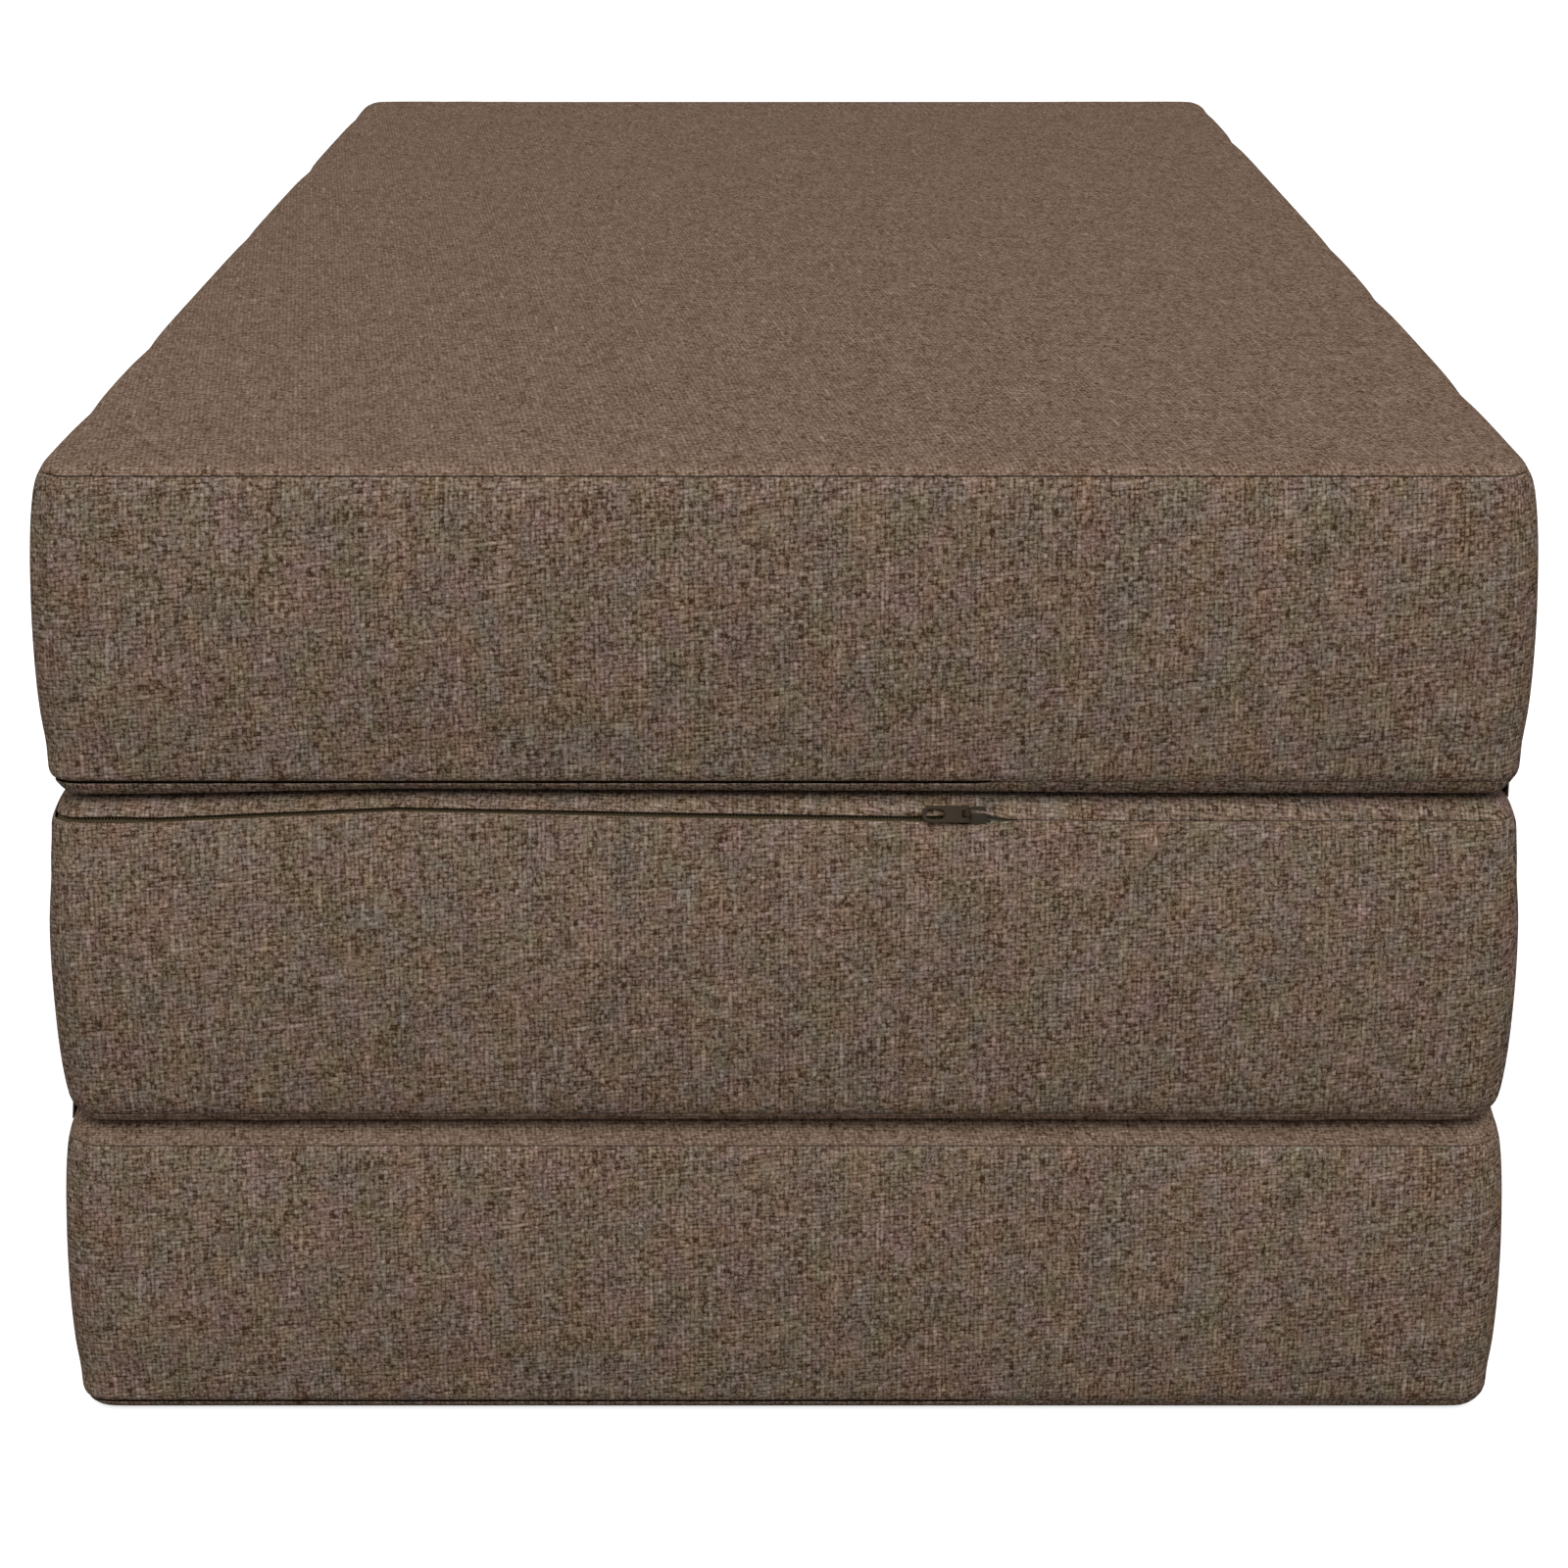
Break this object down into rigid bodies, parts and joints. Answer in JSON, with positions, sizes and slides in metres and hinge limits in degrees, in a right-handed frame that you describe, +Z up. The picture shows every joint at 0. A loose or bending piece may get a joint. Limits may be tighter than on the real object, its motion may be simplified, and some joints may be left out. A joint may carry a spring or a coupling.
{
  "type": "folding sofa bed",
  "caption": "Three foam blocks in zipped fabric covers, joined by fabric hinges on opposite sides: a low seat when stacked in a Z fold, a flat single mattress when opened out.",
  "frame": {"origin": "middle of the folded stack's footprint, on the floor", "axes": "+Z up, +Y from the front to the back along the long edges, +X to the right seen from the front"},
  "size_m": [0.66, 1.2, 0.4497],
  "materials": {
    "cover_fabric": "coarse plain weave of mixed brown, grey and beige yarn",
    "foam": "open-cell upholstery foam, cut faces",
    "zip_tape": "dark brown woven zip tape",
    "zip_teeth": "dark olive-brown nylon",
    "zip_metal": "dark brown enamel on die-cast zinc, satin"
  },
  "bodies": {
    "lower_block": {"lower_foam_core": "foam", "lower_sleeping_panel": "cover_fabric", "lower_boxing": "cover_fabric", "lower_underside_panel": "cover_fabric", "lower_zip_tape": "zip_tape", "lower_zip_chain": "zip_teeth", "lower_zip_stops": "zip_teeth", "left_hinge_lower_leaf": "cover_fabric"},
    "middle_block": {"middle_foam_core": "foam", "middle_sleeping_panel": "cover_fabric", "middle_boxing": "cover_fabric", "middle_underside_panel": "cover_fabric", "middle_zip_tape": "zip_tape", "middle_zip_chain": "zip_teeth", "middle_zip_stops": "zip_teeth", "left_hinge_middle_leaf": "cover_fabric", "right_hinge_middle_leaf": "cover_fabric"},
    "upper_block": {"upper_foam_core": "foam", "upper_sleeping_panel": "cover_fabric", "upper_boxing": "cover_fabric", "upper_underside_panel": "cover_fabric", "upper_zip_tape": "zip_tape", "upper_zip_chain": "zip_teeth", "upper_zip_stops": "zip_teeth", "right_hinge_upper_leaf": "cover_fabric"},
    "lower_slider": {"lower_zip_slider": "zip_metal"},
    "lower_pull": {"lower_zip_pull": "zip_metal"},
    "middle_slider": {"middle_zip_slider": "zip_metal"},
    "middle_pull": {"middle_zip_pull": "zip_metal"},
    "upper_slider": {"upper_zip_slider": "zip_metal"},
    "upper_pull": {"upper_zip_pull": "zip_metal"}
  },
  "joints": [
    {"name": "left_fold", "type": "hinge", "parent": "lower_block", "child": "middle_block", "pos_m": [-0.3303, 0, 0.14985], "axis": [0, -1, 0], "range_deg": [0, 180]},
    {"name": "right_fold", "type": "hinge", "parent": "middle_block", "child": "upper_block", "pos_m": [0.3303, 0, 0.29985], "axis": [0, 1, 0], "range_deg": [0, 180]},
    {"name": "lower_zip_slide", "type": "slide", "parent": "lower_block", "child": "lower_slider", "axis": [-1, 0, 0], "range_m": [0, 0.38], "deforming": ["lower_zip_chain"]},
    {"name": "lower_pull_turn", "type": "hinge", "parent": "lower_slider", "child": "lower_pull", "pos_m": [0.0804, 0.59346, 0.00672], "axis": [0, -0.5263, -0.8503], "range_deg": [0, 170]},
    {"name": "middle_zip_slide", "type": "slide", "parent": "middle_block", "child": "middle_slider", "axis": [-1, 0, 0], "range_m": [0, 0.38], "deforming": ["middle_zip_chain"]},
    {"name": "middle_pull_turn", "type": "hinge", "parent": "middle_slider", "child": "middle_pull", "pos_m": [0.0804, -0.59346, 0.29298], "axis": [0, 0.5263, 0.8503], "range_deg": [0, 170]},
    {"name": "upper_zip_slide", "type": "slide", "parent": "upper_block", "child": "upper_slider", "axis": [-1, 0, 0], "range_m": [0, 0.38], "deforming": ["upper_zip_chain"]},
    {"name": "upper_pull_turn", "type": "hinge", "parent": "upper_slider", "child": "upper_pull", "pos_m": [0.0804, 0.59346, 0.30672], "axis": [0, -0.5263, -0.8503], "range_deg": [0, 170]}
  ]
}
